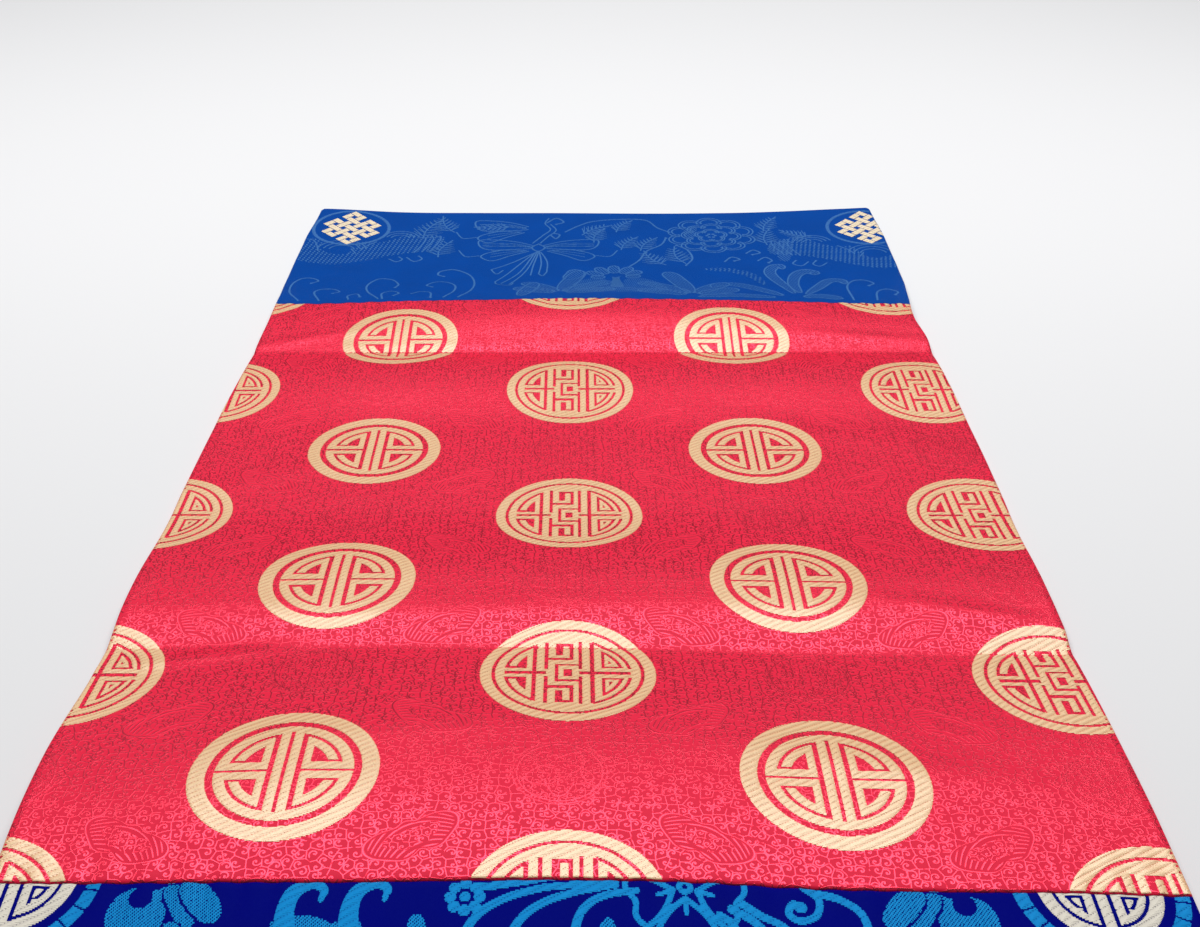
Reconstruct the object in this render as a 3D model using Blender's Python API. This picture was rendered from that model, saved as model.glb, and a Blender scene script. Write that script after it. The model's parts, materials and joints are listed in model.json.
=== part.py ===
"""Brocade panel: a red figured centre panel with a blue brocade band sewn across each end, lying face up.

Lengths are in metres, +X runs across the cloth to the right, +Y along it to the far end and +Z up. While the
pieces are made, y = 0 lies just short of the near seam, and at the end the whole cloth is moved so that the
middle of its underside is the origin.
"""

from bisect import bisect_right
from collections import namedtuple
from math import ceil, sqrt

import bmesh
import bpy

MM = 0.001

NEAR_END = -126 * MM
NEAR_SEAM = 2.3 * MM
FAR_SEAM = 366 * MM
FAR_END = 496 * MM
THICKNESS = 2 * MM
SEAM_GAP = 0.3 * MM
CORNER_RADIUS = 3 * MM
EDGE_ROUNDING = 0.6 * MM

ROW_SPACING = 12 * MM
CELLS_ACROSS = 14
CORNER_ROWS = (0.0, 0.12, 0.4, 1.0)  # shares of the corner radius, from a free end inwards
CREASE_SHARPNESS = 1.5  # slope beside a crease, in mean slopes from it to the next fold

RED = (0.70, 0.012, 0.045, 1.0)
ROYAL_BLUE = (0.004, 0.055, 0.40, 1.0)
NAVY_BLUE = (0.003, 0.012, 0.28, 1.0)

# The underside's height in millimetres over five lines that run the length of the cloth. Flat runs have two rows.
Fold = namedtuple("Fold", "along creased left inner_left middle inner_right right")
FOLDS = (
    Fold(-126.0, False, 1.5, 0.0, 0.0, 0.0, 1.5),
    Fold(-105.0, False, 0.0, 0.0, 0.0, 0.0, 0.0),
    Fold(-52.0, False, 0.0, 0.0, 0.0, 0.0, 0.0),
    Fold(32.0, False, 7.0, 10.0, 9.5, 6.5, 4.5),
    Fold(103.0, True, 2.0, 3.0, 2.5, 1.0, 0.5),
    Fold(137.0, False, 4.0, 5.5, 5.5, 4.5, 3.5),
    Fold(190.0, False, 0.0, 0.0, 0.0, 0.0, 0.0),
    Fold(250.0, False, 0.0, 0.0, 0.0, 0.0, 0.0),
    Fold(297.0, False, 2.0, 3.5, 3.0, 3.5, 2.5),
    Fold(320.0, True, 0.5, 0.5, 0.5, 0.5, 0.5),
    Fold(357.0, False, 3.5, 6.0, 8.0, 7.0, 5.0),
    Fold(418.0, False, 0.5, 0.0, 0.0, 0.5, 1.5),
    Fold(440.0, False, 0.5, 0.0, 0.0, 0.5, 1.5),
    Fold(496.0, True, 5.0, 3.2, 2.2, 3.2, 5.5),
)
FOLD_LINES = (-150.0, -75.0, 0.0, 75.0, 150.0)

# How far each side edge lies from the centre line, in millimetres.
Side = namedtuple("Side", "along left right")
SIDES = (
    Side(-126.0, 149.0, 147.0),
    Side(-40.0, 151.0, 146.0),
    Side(0.0, 152.0, 145.5),
    Side(50.0, 153.0, 146.1),
    Side(90.0, 151.5, 147.1),
    Side(130.0, 152.2, 147.6),
    Side(165.0, 151.8, 148.6),
    Side(200.0, 152.1, 150.4),
    Side(258.0, 151.3, 151.4),
    Side(300.0, 148.9, 150.6),
    Side(330.0, 148.4, 151.1),
    Side(350.0, 147.5, 148.8),
    Side(378.0, 147.9, 151.4),
    Side(400.0, 148.9, 154.0),
    Side(430.0, 149.3, 155.4),
    Side(460.0, 148.8, 156.0),
    Side(496.0, 145.5, 154.0),
)

# How far the far end stands out past its straight line, in millimetres: its corners are pulled into ears.
Ear = namedtuple("Ear", "across out")
EARS = (
    Ear(-146.0, 0.6),
    Ear(-102.0, -2.3),
    Ear(-58.0, -0.8),
    Ear(-12.0, 0.7),
    Ear(62.0, -1.9),
    Ear(110.0, -2.6),
    Ear(138.0, -1.6),
    Ear(157.0, 0.0),
)


def curve_through(stations, values, creased):
    """A curve through the values that never swings past them, smooth but for a corner at each creased station."""
    steps = [
        (values[i + 1] - values[i]) / (stations[i + 1] - stations[i])
        for i in range(len(values) - 1)
    ]
    arriving, leaving = [], []
    for before, after, sharp in zip([0.0, *steps], [*steps, 0.0], creased):
        shared = 2 * before * after / (before + after) if before * after > 0 else 0.0
        arriving.append(CREASE_SHARPNESS * before if sharp else shared)
        leaving.append(CREASE_SHARPNESS * after if sharp else shared)

    def value_at(place):
        place = min(max(place, stations[0]), stations[-1])
        i = min(bisect_right(stations, place), len(steps)) - 1
        width = stations[i + 1] - stations[i]
        u = (place - stations[i]) / width
        ends = (1 + 2 * u) * (1 - u) ** 2 * values[i] + u * u * (3 - 2 * u) * values[i + 1]
        turns = u * (1 - u) ** 2 * leaving[i] - u * u * (1 - u) * arriving[i + 1]
        return ends + width * turns

    return value_at


def table_curve(table, station, column):
    """The curve through one named column of a table, in metres in and out."""
    creased = [getattr(row, "creased", False) for row in table]
    places = [getattr(row, station) * MM for row in table]
    return curve_through(places, [getattr(row, column) * MM for row in table], creased)


HEIGHT_CURVES = [table_curve(FOLDS, "along", line) for line in Fold._fields[2:]]
LEFT_SIDE = table_curve(SIDES, "along", "left")
RIGHT_SIDE = table_curve(SIDES, "along", "right")
FAR_EARS = table_curve(EARS, "across", "out")


def heights_across(along):
    """The underside's height along one line across the cloth, as a curve."""
    heights = [curve(along) for curve in HEIGHT_CURVES]
    lines = [line * MM for line in FOLD_LINES]
    return curve_through(lines, heights, [False] * len(lines))


def corner_inset(from_end):
    """How far a rounded corner draws the side edges in, this far from a free end."""
    if from_end >= CORNER_RADIUS:
        return 0.0
    reach = CORNER_RADIUS - from_end
    return CORNER_RADIUS - sqrt(CORNER_RADIUS**2 - reach**2)


def row_places(start, end, free_ends):
    """Where the rows of cells lie from start to end: at each fold, round the free corners, and evenly between."""
    places = {start, end}
    places |= {row.along * MM for row in FOLDS if start < row.along * MM < end}
    for free_end in free_ends:
        inwards = 1 if free_end == start else -1
        places |= {free_end + inwards * share * CORNER_RADIUS for share in CORNER_ROWS}
    placed = sorted(places)
    filled = []
    for low, high in zip(placed, placed[1:]):
        cells = ceil((high - low) / ROW_SPACING)
        filled += [low + (high - low) * i / cells for i in range(cells)]
    return [*filled, end]


def underside_point(share, along, free_ends):
    """One corner of a cell: share runs from 0 at the left edge to 1 at the right."""
    inset = max([corner_inset(abs(along - free_end)) for free_end in free_ends], default=0.0)
    left = inset - LEFT_SIDE(along)
    right = RIGHT_SIDE(along) - inset
    across = left + (right - left) * share
    height = max(heights_across(along)(across), 0.0)
    towards_end = max(along - FAR_SEAM, 0.0) / (FAR_END - FAR_SEAM)
    return across, along + FAR_EARS(across) * towards_end**2, height


def cloth_piece(name, start, end, free_ends, colour):
    """One flat-cut piece of cloth: a grid moved onto the folds, then raised by the cloth's thickness."""
    rows = row_places(start, end, free_ends)
    shape = bmesh.new()
    bmesh.ops.create_grid(shape, x_segments=CELLS_ACROSS, y_segments=len(rows) - 1, size=1.0)
    for vert in shape.verts:
        row = round((vert.co.y + 1) / 2 * (len(rows) - 1))
        share = (vert.co.x + 1) / 2
        vert.co = underside_point(share, rows[row], free_ends)
    raised = bmesh.ops.extrude_face_region(shape, geom=shape.faces[:], use_keep_orig=True)
    top = [item for item in raised["geom"] if isinstance(item, bmesh.types.BMVert)]
    bmesh.ops.translate(shape, verts=top, vec=(0.0, 0.0, THICKNESS))
    bmesh.ops.recalc_face_normals(shape, faces=shape.faces[:])
    mesh = bpy.data.meshes.new(name)
    shape.to_mesh(mesh)
    shape.free()
    piece = bpy.data.objects.new(name, mesh)
    bpy.context.scene.collection.objects.link(piece)
    rounding = piece.modifiers.new("rounded edges", "BEVEL")
    rounding.width = EDGE_ROUNDING
    rounding.segments = 1
    rounding.limit_method = "ANGLE"
    mesh.materials.append(satin(name, colour))
    mesh.shade_smooth()
    mesh.set_sharp_from_angle(angle=0.6)
    return piece


def satin(name, colour):
    """A woven satin in one colour."""
    material = bpy.data.materials.new(f"{name} satin")
    material.use_nodes = True
    shader = material.node_tree.nodes["Principled BSDF"]
    shader.inputs["Base Color"].default_value = colour
    shader.inputs["Roughness"].default_value = 0.55
    shader.inputs["Metallic"].default_value = 0.0
    material.diffuse_color = colour
    return material


def centre_on_origin(pieces):
    """Moves the pieces together so that the middle of their underside is the origin."""
    points = [vert.co for piece in pieces for vert in piece.data.vertices]
    middle = [(min(axis) + max(axis)) / 2 for axis in zip(*points)]
    lowest = min(point.z for point in points)
    for piece in pieces:
        for vert in piece.data.vertices:
            vert.co.x -= middle[0]
            vert.co.y -= middle[1]
            vert.co.z -= lowest


def main():
    for old in list(bpy.data.objects):
        bpy.data.objects.remove(old, do_unlink=True)
    half_gap = SEAM_GAP / 2
    pieces = [
        cloth_piece("centre_panel", NEAR_SEAM + half_gap, FAR_SEAM - half_gap, [], RED),
        cloth_piece("far_band", FAR_SEAM + half_gap, FAR_END, [FAR_END], ROYAL_BLUE),
        cloth_piece("near_band", NEAR_END, NEAR_SEAM - half_gap, [NEAR_END], NAVY_BLUE),
    ]
    centre_on_origin(pieces)


main()
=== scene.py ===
"""A brocade panel lying face up: a red damask centre with gold woven roundels, and a blue band at each end.

Everything is laid on the cloth by one function, laid_point, from two places on the flat cloth: across,
counted from its centre line to the right, and along, counted from just short of the near seam to the far end.
Figures are inked on a weaver's draft and then woven as short weft floats that lie a little above the ground.
"""

import json
from collections import namedtuple
from math import cos, pi, radians, sin, sqrt

import bpy
import numpy as np
from bpy.props import FloatProperty, FloatVectorProperty, PointerProperty
from mathutils import Euler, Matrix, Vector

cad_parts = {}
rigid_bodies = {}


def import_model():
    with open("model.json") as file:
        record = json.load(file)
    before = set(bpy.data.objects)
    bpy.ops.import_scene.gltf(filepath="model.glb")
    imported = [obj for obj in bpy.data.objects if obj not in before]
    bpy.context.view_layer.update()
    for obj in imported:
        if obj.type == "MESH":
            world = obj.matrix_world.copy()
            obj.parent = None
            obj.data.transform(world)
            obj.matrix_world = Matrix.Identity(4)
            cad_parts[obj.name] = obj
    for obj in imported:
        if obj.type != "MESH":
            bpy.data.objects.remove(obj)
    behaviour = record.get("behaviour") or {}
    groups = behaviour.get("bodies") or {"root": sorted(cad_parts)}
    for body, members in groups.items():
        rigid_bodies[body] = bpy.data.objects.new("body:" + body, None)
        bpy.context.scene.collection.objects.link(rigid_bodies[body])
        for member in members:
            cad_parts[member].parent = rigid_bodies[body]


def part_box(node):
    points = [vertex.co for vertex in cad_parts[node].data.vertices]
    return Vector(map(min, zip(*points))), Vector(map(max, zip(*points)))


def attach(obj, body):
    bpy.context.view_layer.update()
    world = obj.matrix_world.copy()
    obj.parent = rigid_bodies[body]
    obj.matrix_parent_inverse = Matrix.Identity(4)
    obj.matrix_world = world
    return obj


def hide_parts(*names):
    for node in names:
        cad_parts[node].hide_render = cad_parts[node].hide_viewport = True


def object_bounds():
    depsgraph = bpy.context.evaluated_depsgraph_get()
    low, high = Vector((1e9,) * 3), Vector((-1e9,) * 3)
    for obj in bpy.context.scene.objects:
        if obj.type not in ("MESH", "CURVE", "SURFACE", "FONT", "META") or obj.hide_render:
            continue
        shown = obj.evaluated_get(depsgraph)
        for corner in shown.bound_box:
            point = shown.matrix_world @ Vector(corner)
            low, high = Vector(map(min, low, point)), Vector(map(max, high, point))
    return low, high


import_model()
CAD_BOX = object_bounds()

bl_info = {
    "name": "Brocade Panel",
    "version": (1, 0, 0),
    "blender": (4, 5, 0),
    "location": "3D View > Sidebar > Brocade",
    "description": "A red and blue brocade panel with woven roundels, laid on a pale floor",
    "category": "Add Mesh",
}

MM = 0.001

# ----------------------------------------------------------------------------------------------------
# How the cloth lies
# ----------------------------------------------------------------------------------------------------

NEAR_END = -126.0 * MM
NEAR_SEAM = 2.3 * MM
FAR_SEAM = 366.0 * MM
FAR_END = 496.0 * MM
CORNER_RADIUS = 3.0 * MM
CREASE_SHARPNESS = 1.5

# The underside's height in millimetres over five lines that run the length of the cloth.
Fold = namedtuple("Fold", "along creased left inner_left middle inner_right right")
FOLDS = (
    Fold(-126.0, False, 1.5, 0.0, 0.0, 0.0, 1.5),
    Fold(-105.0, False, 0.0, 0.0, 0.0, 0.0, 0.0),
    Fold(-52.0, False, 0.0, 0.0, 0.0, 0.0, 0.0),
    Fold(32.0, False, 7.0, 10.0, 9.5, 6.5, 4.5),
    Fold(103.0, True, 2.0, 3.0, 2.5, 1.0, 0.5),
    Fold(137.0, False, 4.0, 5.5, 5.5, 4.5, 3.5),
    Fold(190.0, False, 0.0, 0.0, 0.0, 0.0, 0.0),
    Fold(250.0, False, 0.0, 0.0, 0.0, 0.0, 0.0),
    Fold(297.0, False, 2.0, 3.5, 3.0, 3.5, 2.5),
    Fold(320.0, True, 0.5, 0.5, 0.5, 0.5, 0.5),
    Fold(357.0, False, 3.5, 6.0, 8.0, 7.0, 5.0),
    Fold(418.0, False, 0.5, 0.0, 0.0, 0.5, 1.5),
    Fold(440.0, False, 0.5, 0.0, 0.0, 0.5, 1.5),
    Fold(496.0, True, 5.0, 3.2, 2.2, 3.2, 5.5),
)
FOLD_LINES = (-150.0, -75.0, 0.0, 75.0, 150.0)

# How far each side edge lies from the centre line, in millimetres.
Side = namedtuple("Side", "along left right")
SIDES = (
    Side(-126.0, 149.0, 147.0),
    Side(-40.0, 151.0, 146.0),
    Side(0.0, 152.0, 145.5),
    Side(50.0, 153.0, 146.1),
    Side(90.0, 151.5, 147.1),
    Side(130.0, 152.2, 147.6),
    Side(165.0, 151.8, 148.6),
    Side(200.0, 152.1, 150.4),
    Side(258.0, 151.3, 151.4),
    Side(300.0, 148.9, 150.6),
    Side(330.0, 148.4, 151.1),
    Side(350.0, 147.5, 148.8),
    Side(378.0, 147.9, 151.4),
    Side(400.0, 148.9, 154.0),
    Side(430.0, 149.3, 155.4),
    Side(460.0, 148.8, 156.0),
    Side(496.0, 145.5, 154.0),
)

# How far the far end stands out past its straight line, in millimetres: its corners are pulled into ears.
Ear = namedtuple("Ear", "across out")
EARS = (
    Ear(-146.0, 0.6),
    Ear(-102.0, -2.3),
    Ear(-58.0, -0.8),
    Ear(-12.0, 0.7),
    Ear(62.0, -1.9),
    Ear(110.0, -2.6),
    Ear(138.0, -1.6),
    Ear(157.0, 0.0),
)

# Small soft creases, in millimetres and degrees: the middle of each, its half length and half width, the way
# that it runs from straight across, and its height, which is negative for a trough.
Crease = namedtuple("Crease", "across along reach width turn height")
CREASES = (
    Crease(-118.0, 98.0, 34.0, 4.0, 12.0, 0.7),
    Crease(0.0, 120.0, 190.0, 9.5, 0.0, 0.9),
    Crease(-60.0, 116.0, 46.0, 4.5, 3.0, 0.35),
    Crease(58.0, 108.0, 52.0, 5.0, -4.0, 0.35),
    Crease(128.0, 118.0, 30.0, 4.5, -14.0, 0.8),
    Crease(138.0, 104.0, 20.0, 4.0, 10.0, -0.6),
    Crease(-132.0, 330.0, 26.0, 4.0, 16.0, 0.5),
    Crease(120.0, 332.0, 38.0, 4.0, -6.0, 0.45),
    Crease(-20.0, 326.0, 70.0, 3.5, 1.0, 0.3),
    Crease(-120.0, 214.0, 40.0, 8.0, 24.0, 0.35),
    Crease(96.0, 246.0, 52.0, 9.0, -18.0, 0.35),
    Crease(-40.0, 62.0, 60.0, 9.0, 8.0, 0.4),
    Crease(84.0, 44.0, 50.0, 8.0, -12.0, 0.4),
    Crease(-96.0, 432.0, 36.0, 6.0, 20.0, 0.5),
    Crease(110.0, 436.0, 40.0, 7.0, -16.0, 0.5),
    Crease(10.0, -60.0, 80.0, 9.0, 5.0, 0.5),
    Crease(-90.0, -84.0, 40.0, 8.0, -20.0, 0.4),
)

# How far the seams stray from their straight lines towards the far end, in millimetres.
Sway = namedtuple("Sway", "across near far")
SWAYS = (
    Sway(-150.0, 1.7, 3.2),
    Sway(-125.0, 1.2, 2.1),
    Sway(-95.0, 0.6, 1.9),
    Sway(-72.0, 0.3, 1.3),
    Sway(-40.0, 1.0, 0.0),
    Sway(-10.0, 1.6, -0.4),
    Sway(20.0, 1.4, -0.6),
    Sway(55.0, 0.2, -0.7),
    Sway(85.0, 0.3, -1.0),
    Sway(112.0, 0.7, -1.1),
    Sway(150.0, 0.0, -0.7),
)

ROLL_RADIUS = 0.9 * MM  # how round the turned-under edges are
TOP_OVER_UNDERSIDE = 1.9 * MM
PUCKER_HEIGHT = 0.22 * MM
PUCKER_REACH = 9.0 * MM
SEAM_SWAY_REACH = 18.0 * MM

PATTERN_MIDDLE = -10.7 * MM  # across place of the middle column of roundels
ALONG_ZERO_Y = (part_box("near_band")[1].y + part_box("centre_panel")[0].y) / 2 - NEAR_SEAM
CENTRE_LINE_X = CAD_BOX[1].x - max(row.right for row in SIDES) * MM


def column_of(table, name):
    """One named column of a table, in metres."""
    return np.array([getattr(row, name) for row in table], float) * MM


def curve_through(stations, values, creased, places):
    """The curve through the values that never swings past them, read at the places. It has a corner at each
    creased station. Values with more than one column hold one curve for each place."""
    values = np.asarray(values, float).reshape(len(stations), -1)
    widths = np.diff(stations)
    steps = np.diff(values, axis=0) / widths[:, None]
    level = np.zeros((1, values.shape[1]))
    before = np.concatenate([level, steps])
    after = np.concatenate([steps, level])
    both = np.where(before * after > 0, before + after, 1.0)
    shared = np.where(before * after > 0, 2 * before * after / both, 0.0)
    sharp = np.asarray(creased, bool)[:, None]
    arriving = np.where(sharp, CREASE_SHARPNESS * before, shared)
    leaving = np.where(sharp, CREASE_SHARPNESS * after, shared)
    places = np.clip(places, stations[0], stations[-1])
    low = np.clip(np.searchsorted(stations, places, side="right") - 1, 0, len(widths) - 1)
    column = np.arange(len(places)) if values.shape[1] > 1 else 0
    u = (places - stations[low]) / widths[low]
    ends = (1 + 2 * u) * (1 - u) ** 2 * values[low, column]
    ends += u * u * (3 - 2 * u) * values[low + 1, column]
    turns = u * (1 - u) ** 2 * leaving[low, column] - u * u * (1 - u) * arriving[low + 1, column]
    return ends + widths[low] * turns


def smooth_column(table, station, name, places):
    """A table's column as a smooth curve, read at the places."""
    stations = column_of(table, station)
    return curve_through(stations, column_of(table, name), [False] * len(stations), places)


def side_edges(along):
    """Where the left and the right side edge lie across, with the corners of the free ends rounded."""
    from_end = np.minimum(along - NEAR_END, FAR_END - along)
    reach = np.clip(CORNER_RADIUS - from_end, 0.0, CORNER_RADIUS)
    inset = CORNER_RADIUS - np.sqrt(CORNER_RADIUS**2 - reach**2)
    left = inset - smooth_column(SIDES, "along", "left", along)
    right = smooth_column(SIDES, "along", "right", along) - inset
    return left, right


def underside_height(across, along):
    """The height of the cloth's underside above what it lies on."""
    stations = column_of(FOLDS, "along")
    creased = [row.creased for row in FOLDS]
    lines = [
        curve_through(stations, column_of(FOLDS, name), creased, along) for name in Fold._fields[2:]
    ]
    lines_across = np.array(FOLD_LINES) * MM
    return np.maximum(curve_through(lines_across, np.array(lines), [False] * 5, across), 0.0)


def small_creases(across, along):
    """The height that the small soft creases add."""
    height = np.zeros_like(across)
    for crease in CREASES:
        turn = radians(crease.turn)
        right = (across - crease.across * MM) / MM
        away = (along - crease.along * MM) / MM
        down_it = right * cos(turn) + away * sin(turn)
        over_it = away * cos(turn) - right * sin(turn)
        fade = np.exp(-((down_it / crease.reach) ** 2) - (over_it / crease.width) ** 2)
        height += crease.height * MM * fade
    return height


def seam_distance(along):
    return np.minimum(np.abs(along - NEAR_SEAM), np.abs(along - FAR_SEAM))


def seam_puckers(across, along):
    """The seam thread draws the cloth into small puckers that die out away from the seam."""
    beat = np.sin(across / MM * 0.71 + 1.3 * np.sin(across / MM * 0.083))
    beat *= 0.65 + 0.35 * np.sin(across / MM * 0.047 + along / MM * 0.02)
    return PUCKER_HEIGHT * beat * np.exp(-seam_distance(along) / PUCKER_REACH)


def seam_sway(across, along):
    """The seams aren't sewn dead straight: each sways a little to and fro."""
    sway = np.zeros_like(across)
    for name, seam in (("near", NEAR_SEAM), ("far", FAR_SEAM)):
        fade = np.exp(-(((along - seam) / SEAM_SWAY_REACH) ** 2))
        sway += smooth_column(SWAYS, "across", name, across) * fade
    return sway


def edge_roll(across, along):
    """How far the top drops where an edge is turned under, at the sides, the ends and the seams."""
    left, right = side_edges(along)
    from_side = np.minimum(across - left, right - across)
    from_end = np.minimum(along - NEAR_END, FAR_END - along)
    nearest = np.minimum(np.minimum(from_side, from_end), seam_distance(along))
    over = np.clip(ROLL_RADIUS - nearest, 0.0, ROLL_RADIUS)
    return ROLL_RADIUS - np.sqrt(ROLL_RADIUS**2 - over**2)


def laid_point(across, along, lift=0.0, rolled=True):
    """Places on the flat cloth as points on the top of the laid cloth, raised by lift."""
    across = np.asarray(across, float).ravel()
    along = np.asarray(along, float).ravel()
    height = underside_height(across, along) + TOP_OVER_UNDERSIDE
    height += small_creases(across, along) + seam_puckers(across, along)
    if rolled:
        height -= edge_roll(across, along)
    towards_end = np.maximum(along - FAR_SEAM, 0.0) / (FAR_END - FAR_SEAM)
    ears = smooth_column(EARS, "across", "out", across) * towards_end**2
    y = along + ears + seam_sway(across, along) + ALONG_ZERO_Y
    return np.column_stack([across + CENTRE_LINE_X, y, height + np.ravel(lift)])


# ----------------------------------------------------------------------------------------------------
# Settings
# ----------------------------------------------------------------------------------------------------


def length_setting(name, description, millimetres):
    default = millimetres * MM
    return FloatProperty(name=name, description=description, default=default, unit="LENGTH", precision=5)


def colour_setting(name, description, colour):
    return FloatVectorProperty(
        name=name, description=description, default=colour, size=3, subtype="COLOR", min=0.0, max=1.0
    )


class ClothSettings(bpy.types.PropertyGroup):
    """How finely the three cloths are modelled."""

    panel_cell: length_setting("Panel cell", "Side of one cell of the red cloth's mesh", 1.7)
    band_cell: length_setting("Band cell", "Side of one cell of a blue cloth's mesh", 1.3)
    thickness: length_setting("Thickness", "Thickness of each cloth at its turned-under edges", 1.6)


class GroundSettings(bpy.types.PropertyGroup):
    """The red damask ground."""

    satin: colour_setting("Satin", "Colour of the satin", (0.84, 0.014, 0.056))
    figure: colour_setting("Figure", "Colour of the damask lines", (0.90, 0.055, 0.100))
    curl: length_setting("Curl", "Distance between neighbouring curls of the damask", 3.1)
    relief: length_setting("Relief", "How far the damask lines stand up", 0.05)
    ghost_radius: length_setting("Ghost roundel", "Radius of the tone-on-tone roundels", 12.8)


class RoundelSettings(bpy.types.PropertyGroup):
    """The gold roundels and the floats that they are woven in."""

    column_step: length_setting("Column step", "Distance from one column of roundels to the next", 73.89)
    row_step: length_setting("Row step", "Distance along a column from one roundel to the next", 96.65)
    first_row: length_setting("First row", "Place along of the first barred roundel", 39.7)
    barred: length_setting("Barred roundel", "Diameter of the barred roundel", 51.3)
    fretted: length_setting("Fretted roundel", "Diameter of the fretted roundel", 52.6)
    fretted_shift: length_setting("Fretted shift", "How far right of its column one lies", 2.0)
    weft: length_setting("Weft", "Distance from one gold weft to the next", 0.42)
    tie_step: length_setting("Tie step", "Distance between the slanting lines of tie-down points", 1.9)
    tie_angle: FloatProperty(
        name="Tie angle", description="Slant of those lines", default=radians(30.0), subtype="ANGLE"
    )
    gold: colour_setting("Gold", "Colour of the gold weft", (1.0, 0.69, 0.39))
    # Tied gold is painted shade: the weft is darkened towards the ends of each float, where it dips under its
    # tie.
    tied: colour_setting("Tied gold", "Colour of the weft where it is tied down", (0.78, 0.34, 0.15))


class BandSettings(bpy.types.PropertyGroup):
    """The colours of the two blue bands."""

    # The far band is the same cloth as the near one. Its royal ground is the navy lightened by painted sheen,
    # and its pale figures are the azure with their contrast taken down by that painted sheen, as the far band
    # is seen at a grazing angle.
    royal: colour_setting("Royal blue", "Ground of the far band", (0.0, 0.066, 0.370))
    pale: colour_setting("Pale blue", "Fine figures of the far band", (0.040, 0.16, 0.43))
    navy: colour_setting("Navy", "Ground of the near band", (0.0, 0.0, 0.225))
    azure: colour_setting("Azure", "Figures of the near band", (0.0, 0.25, 0.64))
    ivory: colour_setting("Ivory", "Roundels of the near band", (0.82, 0.77, 0.66))


class StageSettings(bpy.types.PropertyGroup):
    """Floor, lights and camera."""

    floor: colour_setting("Floor", "Colour of the floor", (0.83, 0.83, 0.84))
    sky: FloatProperty(name="Sky", description="Strength of the light from all round", default=0.10)
    softbox: FloatProperty(
        name="Softbox", description="Power of the light overhead", default=39.0, subtype="POWER"
    )
    lens: FloatProperty(name="Lens", description="Focal length in millimetres", default=42.78)
    tilt: FloatProperty(
        name="Tilt", description="How far the camera looks down", default=radians(29.67), subtype="ANGLE"
    )
    camera_height: length_setting("Camera height", "Height of the camera above the floor", 271.6)
    camera_back: length_setting("Camera distance", "Distance back to it from near the near seam", 250.8)


SETTINGS = {
    "brocade_cloth": ClothSettings,
    "brocade_ground": GroundSettings,
    "brocade_roundels": RoundelSettings,
    "brocade_bands": BandSettings,
    "brocade_stage": StageSettings,
}

# ----------------------------------------------------------------------------------------------------
# Meshes
# ----------------------------------------------------------------------------------------------------


def mesh_object(name, points, quads, maps, materials):
    """A mesh object from points and four-cornered faces. Its named UV maps hold a place for each point."""
    mesh = bpy.data.meshes.new(name)
    mesh.vertices.add(len(points))
    mesh.vertices.foreach_set("co", np.asarray(points, np.float32).ravel())
    mesh.loops.add(quads.size)
    mesh.loops.foreach_set("vertex_index", quads.astype(np.int32).ravel())
    mesh.polygons.add(len(quads))
    mesh.polygons.foreach_set("loop_start", np.arange(0, quads.size, 4, dtype=np.int32))
    mesh.update(calc_edges=True)
    mesh.shade_smooth()
    for map_name, places in maps.items():
        layer = mesh.uv_layers.new(name=map_name)
        layer.data.foreach_set("uv", places[quads.ravel()].astype(np.float32).ravel())
    for material in materials:
        mesh.materials.append(material)
    piece = bpy.data.objects.new(name, mesh)
    bpy.context.scene.collection.objects.link(piece)
    return piece


def steps_between(start, end, cell):
    """Places from start to end, a cell apart and closer together at each end, where the edge rolls over."""
    closer = np.array([0.0, 0.12, 0.4, 1.0]) * ROLL_RADIUS
    cells = round((end - start - 2 * ROLL_RADIUS) / cell)
    inner = np.linspace(start + ROLL_RADIUS, end - ROLL_RADIUS, cells + 1)[1:-1]
    return np.concatenate([start + closer, inner, (end - closer)[::-1]])


def cloth_sheet(name, start, end, cell, face, back):
    """One cloth with its top, its underside and its rim, from one place along to another."""
    settings = bpy.context.scene.brocade_cloth
    rows = steps_between(start, end, cell)
    nominal = steps_between(0.0, 0.3, cell) / 0.3
    left, right = side_edges(rows)
    across = left[:, None] + (right - left)[:, None] * nominal[None, :]
    along = np.repeat(rows[:, None], len(nominal), axis=1)
    top = laid_point(across, along)
    under = laid_point(across, along, lift=-settings.thickness, rolled=False)
    count = top.shape[0]
    index = np.arange(count).reshape(len(rows), len(nominal))
    cells = [index[:-1, :-1], index[:-1, 1:], index[1:, 1:], index[1:, :-1]]
    top_quads = np.stack([corner.ravel() for corner in cells], axis=1)
    under_quads = top_quads[:, ::-1] + count
    rim = np.concatenate([index[0, :-1], index[:-1, -1], index[-1, :0:-1], index[:0:-1, 0]])
    onward = np.roll(rim, -1)
    rim_quads = np.stack([onward, rim, rim + count, onward + count], axis=1)
    quads = np.concatenate([top_quads, rim_quads, under_quads])
    pattern = np.column_stack([across.ravel() - PATTERN_MIDDLE, along.ravel()])
    shares_along = np.repeat(np.linspace(0, 1, len(rows)), len(nominal))
    flat = np.column_stack([np.tile(nominal, len(rows)), shares_along])
    # The baked map keeps most of its room for the top.
    baked = np.concatenate([flat * (1.0, 0.8), flat * (1.0, 0.16) + (0.0, 0.83)])
    maps = {"cloth": np.concatenate([pattern, pattern]), "OFBake": baked}
    piece = mesh_object(name, np.concatenate([top, under]), quads, maps, [face, back])
    slots = np.zeros(len(quads), np.int32)
    slots[len(top_quads) + len(rim_quads) :] = 1
    piece.data.polygons.foreach_set("material_index", slots)
    return piece


# ----------------------------------------------------------------------------------------------------
# Drafting and weaving
# ----------------------------------------------------------------------------------------------------

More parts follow.
